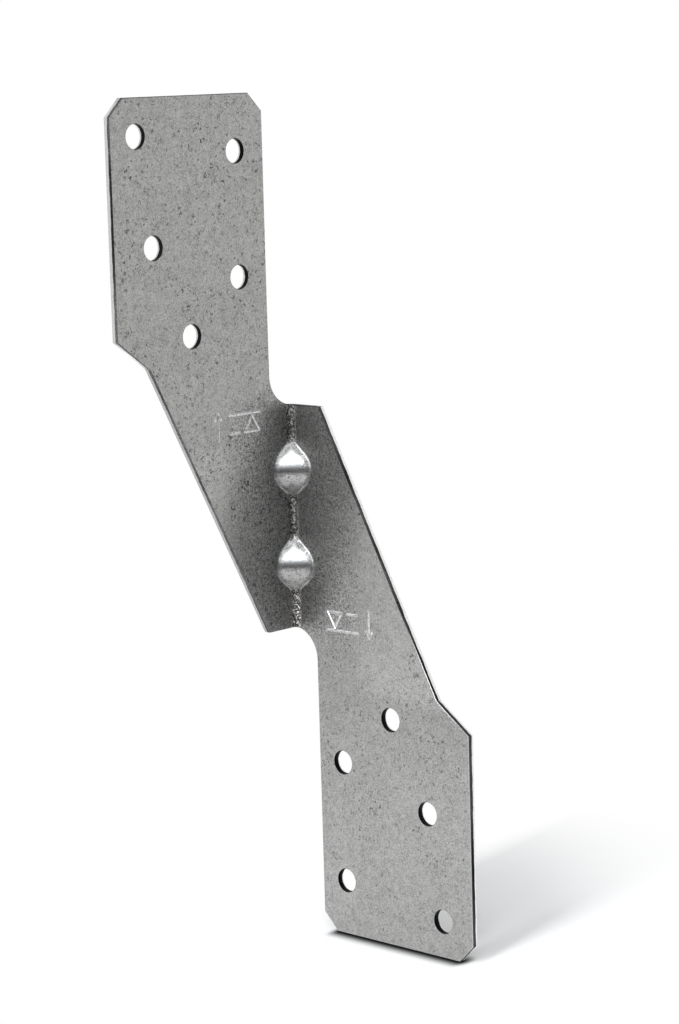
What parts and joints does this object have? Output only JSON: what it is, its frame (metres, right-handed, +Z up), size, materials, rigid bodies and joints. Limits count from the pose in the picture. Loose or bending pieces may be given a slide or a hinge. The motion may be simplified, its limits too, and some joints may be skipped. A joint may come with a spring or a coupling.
{
  "type": "hurricane tie",
  "caption": "Folded galvanised-steel tie with two nailing flanges and pressed darts, for fixing a rafter to a wall plate.",
  "frame": {"origin": "on the outside corner of the fold at mid height, where the rafter's side meets the wall plate's face", "axes": "+Z up along the fold; the upper flange lies in the plane x = 0 and runs towards -Y with its outer face looking to -X; the lower flange lies in the plane y = 0 and runs towards +X with its outer face looking to +Y"},
  "size_m": [0.041, 0.041, 0.148],
  "materials": {
    "galvanised_steel": "hot-dip galvanised sheet, satin, with a fine grey mottle"
  },
  "bodies": {
    "root": {"tie": "galvanised_steel"}
  },
  "joints": []
}
